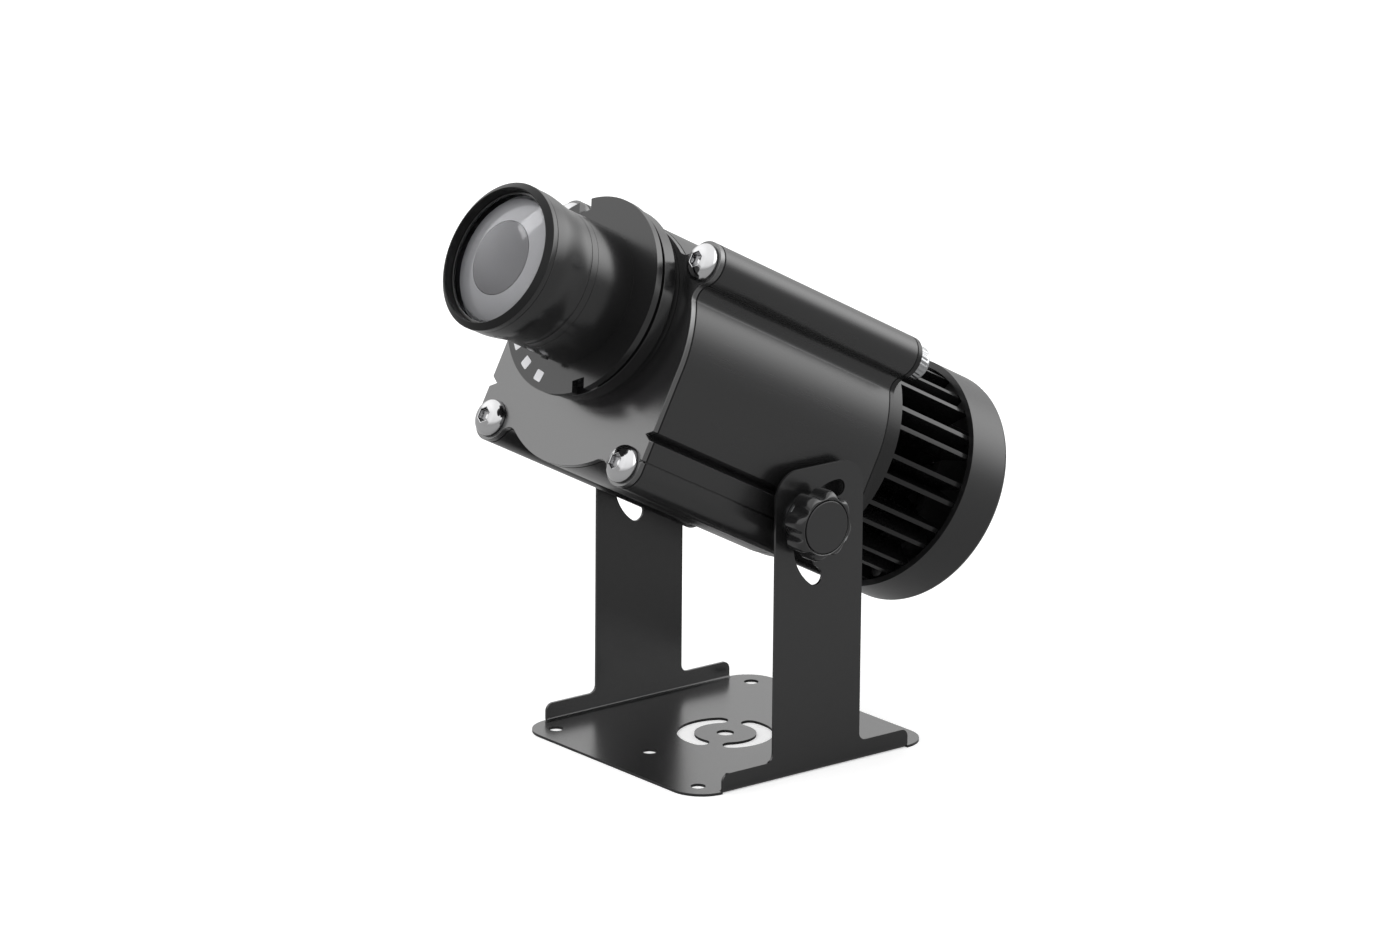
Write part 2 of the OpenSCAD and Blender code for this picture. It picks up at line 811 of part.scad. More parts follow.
module rear_cap() {
  edge_r = 2.5;
  color("DimGray")
  place_head() difference() {
    rotate_extrude() difference() {
      union() {
        translate([0, cap_back + edge_r]) square([cap_r, cap_front - cap_back - edge_r]);
        translate([0, cap_back]) square([cap_r - edge_r, edge_r + cut]);
        translate([cap_r - edge_r, cap_back + edge_r]) circle(r = edge_r);
      }
      translate([-cut, cap_in]) square([cap_r - cap_wall + cut, cap_front - cap_in + cut]);
      translate([-cap_r, cap_back - cut]) square([cap_r, cap_front - cap_back + 2 * cut]);
    }
    translate([0, 0, cap_back - cut]) linear_extrude(cap_back_t + 2 * cut) {
      grille_profile();
      at_fan_screws() circle(r = 2 + slip_gap);
      translate([0, -grommet_drop]) circle(r = grommet_hole_d / 2);
    }
  }
}

module cap_screws() {
  color("Silver")
  place_head() translate([0, 0, cap_back]) mirror([0, 0, 1]) at_fan_screws()
    button_screw(2, cap_back_t + fan_t + 8, 3.8, 2.2, 2.5);
}

fan_bore = fan_w / 2 - 1.2;
hub_r = 11.5;
shaft_r = 1.5;
module fan_frame() {
  web = 2;
  color("Black")
  place_head() difference() {
    union() {
      translate([0, 0, fan_back]) linear_extrude(fan_t) difference() {
        round_rect(fan_w, fan_w, 3);
        circle(r = fan_bore);
      }
      translate([0, 0, fan_back]) cylinder(r = hub_r, h = web);
      for (a = [45, 135]) rotate(a) translate([-fan_w / 2, -1.5, fan_back]) cube([fan_w, 3, web]);
      translate([0, 0, fan_back]) cylinder(r = shaft_r + 2, h = 9);
    }
    translate([0, 0, fan_back - cut]) at_fan_screws() cylinder(r = 2 + slip_gap, h = fan_t + 2 * cut);
    translate([0, 0, fan_back - cut]) cylinder(r = shaft_r + run_gap, h = fan_t);
  }
}

module fan_rotor() {
  skirt_low = fan_back + 3;
  top = fan_front - 1;
  blade_t = 1.2;
  pitch = 38;
  color("Black")
  place_head() {
    difference() {
      translate([0, 0, skirt_low]) cylinder(r = hub_r, h = top - skirt_low);
      translate([0, 0, skirt_low - cut]) cylinder(r = hub_r - 1.5, h = top - skirt_low - 1.5 + cut);
    }
    translate([0, 0, fan_back + 0.5]) cylinder(r = shaft_r, h = top - fan_back - 1);
    intersection() {
      translate([0, 0, skirt_low]) difference() {
        cylinder(r = fan_bore - 0.8, h = top - skirt_low);
        translate([0, 0, -cut]) cylinder(r = hub_r - 0.7, h = fan_t);
      }
      for (i = [1 : blade_count]) rotate(i * 360 / blade_count)
        translate([hub_r - 1.2, 0, (skirt_low + top) / 2]) rotate([pitch, 0, 0])
          translate([0, -10, -blade_t / 2]) cube([fan_bore, 20, blade_t]);
    }
  }
}

// A rubber grommet in the cap's back, around the cable's hole: a lip on each side and a neck.
module cable_grommet() {
  lip = 2.2;
  inner_lip_t = 1.5;
  outer_lip_t = 2.5;
  color("Black")
  place_head() translate([0, -grommet_drop, cap_back]) mirror([0, 0, 1]) difference() {
    union() {
      translate([0, 0, seat_gap]) cylinder(r = grommet_hole_d / 2 + lip, h = outer_lip_t);
      translate([0, 0, -cap_back_t - seat_gap - inner_lip_t]) cylinder(r = grommet_hole_d / 2 + lip, h = inner_lip_t);
      translate([0, 0, -cap_back_t - seat_gap - cut / 2])
        cylinder(r = grommet_hole_d / 2 - slip_gap, h = cap_back_t + 2 * seat_gap + cut);
    }
    translate([0, 0, -20]) cylinder(r = cable_d / 2, h = 40);
  }
}

// Lens flange with its barrel, its rear spigot and the three bayonet lugs.
module lens_flange() {
  lug_turn = 20;
  color("DimGray")
  on_lens_axis() difference() {
    union() {
      difference() {
        translate([0, 0, disc_back]) cylinder(r = disc_r, h = disc_t);
        for (s = [0, 180]) rotate(s + notch_turn - 90) translate([disc_r - notch_d, -notch_w / 2, disc_back - cut])
          cube([notch_d + 2, notch_w, disc_t + 2 * cut]);
      }
      translate([0, 0, disc_back + disc_t / 2]) cylinder(r = barrel_r, h = barrel_front - disc_back - disc_t / 2);
      translate([0, 0, holder_h + slip_gap]) cylinder(r = spigot_r, h = disc_back - holder_h);
      for (a = [0, 120, 240])
        translate([0, 0, pocket_low + slip_gap]) linear_extrude(pocket_high - pocket_low - 2 * slip_gap)
          intersection() {
            circle(r = lug_r);
            sector(lug_r, a - lug_turn / 2, a + lug_turn / 2);
          }
    }
    translate([0, 0, sleeve_back - slip_gap]) cylinder(r = barrel_bore, h = barrel_front);
    translate([0, 0, rear_lens_top - rear_lens_edge_t - 0.4]) cylinder(r = spigot_bore, h = barrel_front);
    cylinder(r = spigot_bore - 1.3, h = barrel_front);
    at_stop() cylinder(r = stop_r + run_gap, h = barrel_r + cut);
  }
}

// The stop screw's own axis, through the barrel's underside.
module at_stop() {
  translate([0, 0, stop_at]) rotate(stop_turn - 90) rotate([0, 90, 0]) children();
}
stop_turn = 0;

seal_inset = 2.9;
seal_w = 3.5;
module lens_seal() {
  color("Black")
  on_lens_axis() ring(collar_r - seal_inset, collar_r - seal_inset - seal_w, collar_h + seat_gap, disc_back);
}

module grip_ring() {
  color("DimGray")
  on_lens_axis() ring(barrel_r, barrel_bore + run_gap, barrel_front + seat_gap, grip_front);
}

module focus_stop_screw() {
  color("Silver")
  on_lens_axis() at_stop() translate([0, 0, barrel_bore - 1.2]) difference() {
    cylinder(r = stop_r, h = barrel_r - barrel_bore + 1.8);
    hex_socket(1.5, 1.2, barrel_r - barrel_bore + 1.8);
  }
}

// The sliding tube: a slim sleeve behind, a curved shoulder and the wide front.
module lens_tube() {
  shoulder = bezel_r - barrel_r;
  bezel_back = tube_front - bezel_len;
  lens_shelf = tube_front - glass_recess - 8.4;
  slot_low = stop_at - stop_r - 0.1 - focus_travel;
  color("DimGray")
  on_lens_axis() difference() {
    union() {
      translate([0, 0, sleeve_back]) cylinder(r = sleeve_r, h = tube_front - sleeve_back);
      rotate_extrude() difference() {
        translate([0, tube_back]) square([bezel_r, tube_len]);
        translate([barrel_r, tube_back - cut]) square([shoulder + cut, bezel_back - tube_back - 4.5 + cut]);
        translate([barrel_r + 4.5, bezel_back - 4.5]) circle(r = 4.5);
      }
    }
    translate([0, 0, sleeve_back - cut]) cylinder(r = sleeve_bore, h = tube_front);
    translate([0, 0, lens_shelf]) cylinder(r = bezel_bore, h = tube_front);
    rotate(stop_turn - 90) translate([sleeve_r - 1.5, -stop_r - 0.1, slot_low])
      cube([3, 2 * stop_r + 0.2, focus_travel + 2 * stop_r + 0.2]);
    ring(sleeve_r + cut, sleeve_r - 0.9, o_ring_at, o_ring_at + o_ring_t);
  }
}
o_ring_t = 1.2;
o_ring_at = grip_front - focus_travel - 2.7;

module focus_o_ring() {
  color("Black")
  on_lens_axis() ring(sleeve_r - 0.02, sleeve_r - 0.85, o_ring_at + 0.05, o_ring_at + o_ring_t - 0.05);
}

glass_front = tube_front - glass_recess;
glass_edge_t = 3;
module front_lens() {
  color("LightCyan")
  on_lens_axis() translate([0, 0, glass_front - 1.6 - glass_edge_t])
    dome_lens(bezel_bore - 0.15, glass_edge_t, 3.2);
}

module front_retainer() {
  color("DimGray")
  on_lens_axis() ring(bezel_bore - 0.05, bezel_bore - 1.1, glass_front - 1.25, glass_front);
}

// A stepped ring behind the front glass that carries the smaller inner lens.
module stop_ring() {
  low = glass_front - 8.4;
  high = glass_front - 1.6 - glass_edge_t - seat_gap;
  color("Gray")
  on_lens_axis() difference() {
    translate([0, 0, low]) cylinder(r = bezel_bore - 0.1, h = high - low);
    translate([0, 0, low - cut]) cylinder(r = inner_r() - 1.2, h = 20);
    translate([0, 0, low - cut]) cylinder(r = inner_r() + seat_gap, h = 2.2 + cut);
    translate([0, 0, high - 1.2]) cylinder(r1 = inner_r() - 1.2, r2 = bezel_bore - 1.5, h = 1.3);
  }
}
function inner_r() = 15;

module inner_lens() {
  color("LightCyan")
  on_lens_axis() translate([0, 0, glass_front - 8.4 + 2.1]) mirror([0, 0, 1]) dome_lens(inner_r(), 2, 3);
}

module rear_lens() {
  color("LightCyan")
  on_lens_axis() translate([0, 0, rear_lens_top]) mirror([0, 0, 1])
    dome_lens(spigot_bore - seat_gap, rear_lens_edge_t, rear_lens_rise);
}

module rear_lens_ring() {
  color("DarkSlateGray")
  on_lens_axis() ring(spigot_bore - seat_gap, spigot_bore - 1.6, rear_ring_top - rear_ring_t, rear_ring_top);
}

module clamp_washer(side) {
  color("Silver")
  on_side(side, clamp_reach) ring(washer_r, stud_r + slip_gap, washer_in, washer_out);
}
module right_clamp_washer() { clamp_washer(1); }
module left_clamp_washer() { clamp_washer(-1); }

// The knob's outline: round lobes joined by round hollows, all arcs tangent.
module knob_profile() {
  lobe_at = knob_r - lobe_r;
  turn = 360 / lobe_count;
  mid = lobe_at * cos(turn / 2);
  half = lobe_at * sin(turn / 2);
  rise = knob_valley_r - mid;
  hollow_r = (rise * rise + half * half - lobe_r * lobe_r) / (2 * (lobe_r - rise));
  hollow_at = knob_valley_r + hollow_r;
  difference() {
    polygon([for (i = [0 : 2 * lobe_count - 1]) let (a = i * turn / 2, r = i % 2 == 0 ? lobe_at : hollow_at)
      [r * cos(a), r * sin(a)]]);
    for (i = [1 : lobe_count]) rotate((i - 0.5) * turn) translate([hollow_at, 0]) circle(r = hollow_r);
  }
  for (i = [1 : lobe_count]) rotate(i * turn) translate([lobe_at, 0]) circle(r = lobe_r);
}

module clamp_knob(side) {
  edge = 1.6;
  lobe_turn = 14;
  color("Black")
  on_side(side, clamp_reach) difference() {
    union() {
      intersection() {
        translate([0, 0, knob_in]) rotate(lobe_turn) linear_extrude(knob_h) knob_profile();
        rotate_extrude() {
          translate([0, knob_in]) square([knob_r + cut, knob_h - edge]);
          translate([0, knob_in]) square([knob_r - edge, knob_h]);
          translate([knob_r - edge, knob_out - edge]) circle(r = edge);
        }
      }
      translate([0, 0, hub_in]) cylinder(r = washer_r, h = hub_h + cut);
    }
    translate([0, 0, hub_in - cut]) cylinder(r = stud_r, h = stud_top() - hub_in + cut);
    translate([0, 0, knob_out - knob_cap_t]) cylinder(r = knob_cap_r + seat_gap, h = knob_cap_t + cut);
  }
}
function stud_top() = knob_out - knob_cap_t - 1.5;
module right_knob() { clamp_knob(1); }
module left_knob() { clamp_knob(-1); }

module knob_cap(side) {
  color("Black")
  on_side(side, clamp_reach) translate([0, 0, knob_out - knob_cap_t]) cylinder(r = knob_cap_r, h = knob_cap_t + 0.1);
}
module right_knob_cap() { knob_cap(1); }
module left_knob_cap() { knob_cap(-1); }

module clamp_stud(side) {
  color("Silver")
  on_side(side, clamp_reach) translate([0, 0, thread_end]) cylinder(r = stud_r, h = stud_top() - thread_end);
}
module right_stud() { clamp_stud(1); }
module left_stud() { clamp_stud(-1); }

u_bracket();
pivot_bushes();
body_extrusion();
front_plate();
front_gasket();
rear_gasket();
front_screws();
rear_screws();
pivot_screws();
pivot_spacers();
clamp_spacers();
mount_collar();
collar_screws();
gobo_holder();
gobo_disc();
gobo_spring();
condenser_tube();
condenser_lens_front();
condenser_lens_rear();
condenser_spacer();
condenser_retainer();
led_board();
led_emitter();
led_screws();
driver_board();
driver_parts();
heat_sink();
rear_cap();
cap_screws();
fan_frame();
fan_rotor();
cable_grommet();
lens_flange();
lens_seal();
grip_ring();
rear_lens();
rear_lens_ring();
focus_stop_screw();
lens_tube();
front_lens();
front_retainer();
stop_ring();
inner_lens();
focus_o_ring();
right_clamp_washer();
right_knob();
right_knob_cap();
right_stud();
left_clamp_washer();
left_knob();
left_knob_cap();
left_stud();
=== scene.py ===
import bpy
import math
import numpy as np
from mathutils import Matrix, Vector


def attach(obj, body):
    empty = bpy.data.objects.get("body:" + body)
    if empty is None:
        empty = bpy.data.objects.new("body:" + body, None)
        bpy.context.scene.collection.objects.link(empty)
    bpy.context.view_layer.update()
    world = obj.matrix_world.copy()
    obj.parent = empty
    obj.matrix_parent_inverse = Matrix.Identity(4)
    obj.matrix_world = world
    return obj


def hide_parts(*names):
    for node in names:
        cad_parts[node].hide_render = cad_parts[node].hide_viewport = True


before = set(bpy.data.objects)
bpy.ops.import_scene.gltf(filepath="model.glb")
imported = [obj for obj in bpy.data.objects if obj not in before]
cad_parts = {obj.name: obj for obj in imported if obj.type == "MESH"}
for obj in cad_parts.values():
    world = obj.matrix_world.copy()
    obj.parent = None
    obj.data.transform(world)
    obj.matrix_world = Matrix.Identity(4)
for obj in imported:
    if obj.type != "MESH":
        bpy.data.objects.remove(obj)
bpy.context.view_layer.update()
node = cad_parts


# Bracket: one sheet of 1 mm steel, laser cut, bent up and powder coated satin black. Its nylon bushes
# carry the pivot screws. The coat is smooth enough to mirror the arms in the base plate.
def speckle_group():
    """One finish from two noises, cloud and grain.

    Colour = A + cloud (B - A). Roughness = low + t (high - low), where t goes from 0 to 1 while cloud + grain
    goes from 0.7 to 1.3. Grain is also given out by itself, as a height.
    """
    group = bpy.data.node_groups.new("coat_speckle", "ShaderNodeTree")
    for label, kind in (("Vector", "NodeSocketVector"), ("Colour A", "NodeSocketColor"),
                        ("Colour B", "NodeSocketColor"), ("Cloud Scale", "NodeSocketFloat"),
                        ("Grain Scale", "NodeSocketFloat"), ("Rough Low", "NodeSocketFloat"),
                        ("Rough High", "NodeSocketFloat")):
        group.interface.new_socket(name=label, in_out="INPUT", socket_type=kind)
    for label, kind in (("Colour", "NodeSocketColor"), ("Roughness", "NodeSocketFloat"),
                        ("Grain", "NodeSocketFloat")):
        group.interface.new_socket(name=label, in_out="OUTPUT", socket_type=kind)
    n, link = group.nodes, group.links.new
    src, out = n.new("NodeGroupInput"), n.new("NodeGroupOutput")
    cloud, grain = n.new("ShaderNodeTexNoise"), n.new("ShaderNodeTexNoise")
    cloud.inputs["Detail"].default_value = 4
    grain.inputs["Detail"].default_value = 2
    link(src.outputs["Vector"], cloud.inputs["Vector"])
    link(src.outputs["Vector"], grain.inputs["Vector"])
    link(src.outputs["Cloud Scale"], cloud.inputs["Scale"])
    link(src.outputs["Grain Scale"], grain.inputs["Scale"])
    tint = n.new("ShaderNodeMix")
    tint.data_type = "RGBA"
    link(cloud.outputs["Fac"], tint.inputs["Factor"])
    link(src.outputs["Colour A"], tint.inputs[6])
    link(src.outputs["Colour B"], tint.inputs[7])
    both = n.new("ShaderNodeMath")
    both.operation = "ADD"
    link(cloud.outputs["Fac"], both.inputs[0])
    link(grain.outputs["Fac"], both.inputs[1])
    rough = n.new("ShaderNodeMapRange")
    rough.inputs["From Min"].default_value = 0.7
    rough.inputs["From Max"].default_value = 1.3
    link(both.outputs[0], rough.inputs["Value"])
    link(src.outputs["Rough Low"], rough.inputs["To Min"])
    link(src.outputs["Rough High"], rough.inputs["To Max"])
    link(tint.outputs[2], out.inputs["Colour"])
    link(rough.outputs["Result"], out.inputs["Roughness"])
    link(grain.outputs["Fac"], out.inputs["Grain"])
    return group


speckle = speckle_group()
tilt = math.radians(27.8)
grain_depth, ring_depth = 0.00003, 0.00002


def coat(name, dark, light, rough, cloud=12.0, grain=900.0, bump=0.15, metallic=0.0, ior=1.5, clear=0.0,
         along=(1, 1, 1), rings=0.0):
    """A finish from the speckle group, laid in the head's own directions.

    Along stretches it, clear is a gloss coat on top, and rings adds lathe marks round the lens axis.
    """
    m = bpy.data.materials.new(name)
    m.use_nodes = True
    n, link = m.node_tree.nodes, m.node_tree.links.new
    shader = n["Principled BSDF"]
    shader.inputs["Metallic"].default_value = metallic
    shader.inputs["IOR"].default_value = ior
    shader.inputs["Coat Weight"].default_value = clear
    shader.inputs["Coat Roughness"].default_value = 0.04
    place, at = n.new("ShaderNodeTexCoord"), n.new("ShaderNodeMapping")
    at.vector_type = "TEXTURE"
    at.inputs["Rotation"].default_value = (-tilt, 0, 0)
    at.inputs["Scale"].default_value = along
    link(place.outputs["Object"], at.inputs["Vector"])
    g = n.new("ShaderNodeGroup")
    g.node_tree = speckle
    link(at.outputs["Vector"], g.inputs["Vector"])
    g.inputs["Colour A"].default_value = (*dark, 1)
    g.inputs["Colour B"].default_value = (*light, 1)
    g.inputs["Cloud Scale"].default_value = cloud
    g.inputs["Grain Scale"].default_value = grain
    g.inputs["Rough Low"].default_value = rough[0]
    g.inputs["Rough High"].default_value = rough[1]
    link(g.outputs["Colour"], shader.inputs["Base Color"])
    link(g.outputs["Roughness"], shader.inputs["Roughness"])
    relief = n.new("ShaderNodeBump")
    relief.inputs["Strength"].default_value = bump
    relief.inputs["Distance"].default_value = grain_depth
    link(g.outputs["Grain"], relief.inputs["Height"])
    last = relief
    if rings:
        turned = n.new("ShaderNodeGroup")
        turned.node_tree = lathe_group()
        link(place.outputs["Object"], turned.inputs["Vector"])
        marks = n.new("ShaderNodeBump")
        marks.inputs["Strength"].default_value = rings
        marks.inputs["Distance"].default_value = ring_depth
        link(turned.outputs["Height"], marks.inputs["Height"])
        link(relief.outputs["Normal"], marks.inputs["Normal"])
        last = marks
    link(last.outputs["Normal"], shader.inputs["Normal"])
    return m


def grey(v):
    """A grey with a touch of blue, as the photo's blacks have."""
    return (v, v, v * 1.03)


def wear(name, material):
    """Gives a CAD node its finish."""
    node[name].data.materials.clear()
    node[name].data.materials.append(material)


def soften(name, width, angle=28.0, segments=2):
    """Breaks a CAD node's sharp edges by modifiers alone.

    Its triangles become flat faces first, and the edges between those are bevelled.
    """
    ob = node[name]
    weld = ob.modifiers.new("weld", "WELD")
    weld.merge_threshold = 2e-6
    flat = ob.modifiers.new("flat_faces", "DECIMATE")
    flat.decimate_type = "DISSOLVE"
    flat.angle_limit = math.radians(0.4)
    edges = ob.modifiers.new("broken_edges", "BEVEL")
    edges.width = width
    edges.segments = segments
    edges.limit_method = "ANGLE"
    edges.angle_limit = math.radians(angle)
    edges.miter_outer = "MITER_ARC"
    shade = ob.modifiers.new("even_shading", "WEIGHTED_NORMAL")
    shade.weight = 60
    for p in ob.data.polygons:
        p.use_smooth = True


powder_black = coat("powder_black", grey(0.009), grey(0.012), (0.22, 0.26), ior=1.52, bump=0.012)
nylon = coat("nylon_black", grey(0.012), grey(0.02), (0.4, 0.55))
wear("u_bracket", powder_black)
soften("u_bracket", 0.00018)
wear("pivot_bushes", nylon)

# Body: an aluminium extrusion with four screw tubes, black anodised, with the die's faint streaks along it.
# The front plate has a brighter, finely brushed coat. The gaskets between them are black rubber.
anodised = coat("anodised_black", grey(0.007), grey(0.010), (0.255, 0.275), cloud=60, grain=1200, bump=0.004,
                along=(1, 30, 1))
plate_black = coat("plate_black", grey(0.010), grey(0.014), (0.25, 0.27), ior=1.95, grain=1200, bump=0.004,
                   along=(12, 1, 1))
rubber = coat("rubber_black", grey(0.003), grey(0.005), (0.6, 0.75), ior=1.2)
wear("body_extrusion", anodised)
soften("body_extrusion", 0.00014)
wear("front_plate", plate_black)
soften("front_plate", 0.00014)
for name in ("front_gasket", "rear_gasket", "lens_seal", "focus_o_ring", "cable_grommet"):
    wear(name, rubber)
soften("cable_grommet", 0.0004)

# Heat sink: one casting, black anodised and rather smooth, with its fin edges broken by tumbling.
# The turned cap behind it is a satin black aluminium cup.
sink_black = coat("sink_black", grey(0.004), grey(0.006), (0.2, 0.27), ior=1.36, bump=0.01, along=(1, 20, 1))
cap_black = coat("cap_black", grey(0.009), grey(0.012), (0.28, 0.34), ior=1.44, grain=1100, bump=0.015)
wear("heat_sink", sink_black)
soften("heat_sink", 0.0004, segments=3)
wear("rear_cap", cap_black)
soften("rear_cap", 0.00025)


# Lens mount: a collar, a bayonet flange with its barrel, a grip ring and the focus tube, all turned from
# aluminium and anodised black. Faint lathe marks run round the lens axis.
def lathe_group():
    """Height = noise of one variable, the distance from the lens axis plus the distance along it."""
    if "lathe_marks" in bpy.data.node_groups:
        return bpy.data.node_groups["lathe_marks"]
    group = bpy.data.node_groups.new("lathe_marks", "ShaderNodeTree")
    group.interface.new_socket(name="Vector", in_out="INPUT", socket_type="NodeSocketVector")
    group.interface.new_socket(name="Height", in_out="OUTPUT", socket_type="NodeSocketFloat")
    n, link = group.nodes, group.links.new
    src, out = n.new("NodeGroupInput"), n.new("NodeGroupOutput")
    place = n.new("ShaderNodeMapping")
    place.vector_type = "TEXTURE"
    place.inputs["Location"].default_value = to_head([0, axis_rise, 0])
    place.inputs["Rotation"].default_value = (-tilt, 0, 0)
    link(src.outputs["Vector"], place.inputs["Vector"])
    parts = n.new("ShaderNodeSeparateXYZ")
    link(place.outputs["Vector"], parts.inputs["Vector"])
    flat = n.new("ShaderNodeCombineXYZ")
    link(parts.outputs["X"], flat.inputs["X"])
    link(parts.outputs["Z"], flat.inputs["Z"])
    radius = n.new("ShaderNodeVectorMath")
    radius.operation = "LENGTH"
    link(flat.outputs["Vector"], radius.inputs[0])
    reach = n.new("ShaderNodeMath")
    reach.operation = "ADD"
    link(radius.outputs["Value"], reach.inputs[0])
    link(parts.outputs["Y"], reach.inputs[1])
    noise = n.new("ShaderNodeTexNoise")
    noise.noise_dimensions = "1D"
    noise.inputs["Scale"].default_value = 1000
    noise.inputs["Detail"].default_value = 1
    link(reach.outputs[0], noise.inputs["W"])
    link(noise.outputs["Fac"], out.inputs["Height"])
    return group


# The head's frame has z along the body, 0 at the front plate's face, and y up, 0 between the body screws.
pivot = np.array([0.0, 0.0085, 0.0887])
across = np.array([1.0, 0.0, 0.0])
upward = np.array([0.0, math.sin(tilt), math.cos(tilt)])
forward = np.array([0.0, -math.cos(tilt), math.sin(tilt)])
pivot_drop, pivot_set, axis_rise = 31.3, 95.7, 13.0


def to_head(p):
    """Head frame in mm to object frame in m: pivot + x across + (y + drop) upward + (z + set) forward."""
    x, y, z = np.split(np.asarray(p, float), 3, axis=-1)
    return pivot + (x * across + (y + pivot_drop) * upward + (z + pivot_set) * forward) / 1000


turned_black = coat("turned_black", grey(0.007), grey(0.010), (0.19, 0.21), ior=1.45, bump=0.0, rings=0.012)
for name, width in (("mount_collar", 0.0002), ("lens_flange", 0.00015), ("grip_ring", 0.00006),
                    ("front_retainer", 0.0002)):
    wear(name, turned_black)
    soften(name, width)
for name in ("rear_lens_ring", "condenser_tube", "condenser_spacer", "condenser_retainer"):
    wear(name, turned_black)


# Focus tube: one turned piece that slides in the barrel. Its wide front narrows in a soft S to the barrel's
# width. Its rim is a screwed ring with a broad bevel that hides the glass's edge.
ring_points = 192


def solid_of(name, grids, body, material, smooth=30.0, loop=False):
    """One mesh from grids of points: rings joined by quads, closed by end faces or back on the first ring.

    Each quad joins a point, the next on its ring and the two beside them on the next ring. Where the enclosed
    volume, the sum of a . (b x c) over the triangles, comes out negative, the faces are turned round.
    """
    points, faces, first = np.concatenate([g.reshape(-1, 3) for g in grids]), [], 0
    for g in grids:
        k, m = g.shape[:2]
        at = first + np.arange(k * m).reshape(k, m)
        first += k * m
        side, ahead = np.roll(at, -1, 1), np.roll(at, -1, 0)
        quads = np.stack([at, side, np.roll(side, -1, 0), ahead], -1)
        quads = (quads if loop else quads[:-1]).reshape(-1, 4)
        ends = [] if loop else [at[0, ::-1].tolist(), at[-1].tolist()]
        a, b, c, d = (points[quads[:, j]] - g.mean(axis=(0, 1)) for j in range(4))
        volume = (a * (np.cross(b, c) + np.cross(c, d))).sum()
        own = quads.tolist() + ends
        faces.extend(own if volume > 0 else [f[::-1] for f in own])
    mesh = bpy.data.meshes.new(name)
    mesh.from_pydata(points.tolist(), [], faces)
    mesh.polygons.foreach_set("use_smooth", [True] * len(faces))
    mesh.set_sharp_from_angle(angle=math.radians(smooth))
    mesh.materials.append(material)
    ob = bpy.data.objects.new(name, mesh)
    bpy.context.scene.collection.objects.link(ob)
    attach(ob, body)
    return ob


def lathe(profile):
    """A profile of (r, z) in mm turned about the lens axis: x = r cos a, y = axis rise + r sin a."""
    a = np.linspace(0, 2 * math.pi, ring_points, endpoint=False)
    r, z = np.array(profile, float).T[:, :, None]
    return to_head(np.stack([r * np.cos(a), axis_rise + r * np.sin(a), z + 0 * a], -1))


def rounded(corners, steps=5):
    """A closed polygon of (r, z, fillet): each corner becomes an arc tangent to both of its sides."""
    out = []
    for i, (r, z, fillet) in enumerate(corners):
        p = np.array([r, z], float)
        if not fillet:
            out.append(tuple(p))
            continue
        a = np.array(corners[i - 1][:2], float) - p
        b = np.array(corners[(i + 1) % len(corners)][:2], float) - p
        a, b = a / np.linalg.norm(a), b / np.linalg.norm(b)
        half = math.acos(np.clip(a @ b, -1, 1)) / 2
        centre = p + (a + b) / np.linalg.norm(a + b) * fillet / math.sin(half)
        start, end = p + a * fillet / math.tan(half) - centre, p + b * fillet / math.tan(half) - centre
        swing = math.pi - 2 * half
        for w in np.arange(steps + 1) / steps:
            spoke = (math.sin((1 - w) * swing) * start + math.sin(w * swing) * end) / math.sin(swing)
            out.append(tuple(centre + spoke))
    return out


barrel_r, front_r, bore_r, bevel_from = 25.7, 27.5, 25.0, 57.1
sleeve_r, sleeve_bore, sleeve_end, shoulder, glass_seat = 22.55, 20.55, 10.35, 35.65, 47.35
soft_from, soft_long = 37.0, 14.0
soft_s = [(barrel_r + (front_r - barrel_r) * (3 * u * u - 2 * u ** 3), soft_from + soft_long * u, 0)
          for u in np.linspace(0, 1, 21)]
sleeve = [(sleeve_bore, sleeve_end, 0.2), (sleeve_r, sleeve_end, 0.3), (sleeve_r, shoulder, 0),
          (barrel_r, shoulder, 0.12)]
rim = [(front_r, 54.7, 0.1), (27.3, 54.85, 0), (27.3, 55.0, 0), (27.65, 55.15, 0.1), (27.65, 57.2, 0.35),
       (25.2, 59.1, 0.3), (bore_r, 58.6, 0)]
tube_shape = rounded(sleeve + soft_s + rim + [(bore_r, glass_seat, 0), (sleeve_bore, glass_seat, 0.2)])
tube = solid_of("focus_tube", [lathe(tube_shape)], "lens_slide", turned_black, 35, loop=True)
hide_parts("lens_tube")

# The tube's front bevel and its bore are blackened matt, against stray light. Each ring of faces takes the
# black where its first edge lies on the bevel or beyond.
rim_black = coat("rim_black", grey(0.006), grey(0.009), (0.36, 0.42), ior=1.24, bump=0.01)
tube.data.materials.append(rim_black)
slots = np.repeat([int(z > bevel_from) for r, z in tube_shape], ring_points)
tube.data.polygons.foreach_set("material_index", slots)


# White marks: three 4 mm squares, pad printed on the flange's face to show where the bayonet locks.
# They are a film of white ink, 0.05 mm thick, with slightly soft corners.
def mark_rings(turn, side=4.0, radius=32.8, top=14.65, film=0.05):
    """A soft square, |x|^8 + |y|^8 = (side / 2)^8, at a radius and a turn on the flange's face.

    Its rings lead from just under the face up the film's edge, in over its soft rim and towards its middle.
    """
    a = np.linspace(0, 2 * math.pi, 64, endpoint=False)
    r = side / 2 / (np.abs(np.cos(a)) ** 8 + np.abs(np.sin(a)) ** 8) ** 0.125
    scale = np.array([1.0, 1.0, 0.97, 0.5])[:, None]
    z = np.array([top - 0.02, top + 0.6 * film, top + film, top + film])[:, None]
    x, y = scale * r * np.cos(a), scale * r * np.sin(a) - radius
    c, s = math.cos(turn), math.sin(turn)
    return to_head(np.stack([c * x + s * y, -s * x + c * y + axis_rise, z + 0 * a], -1))


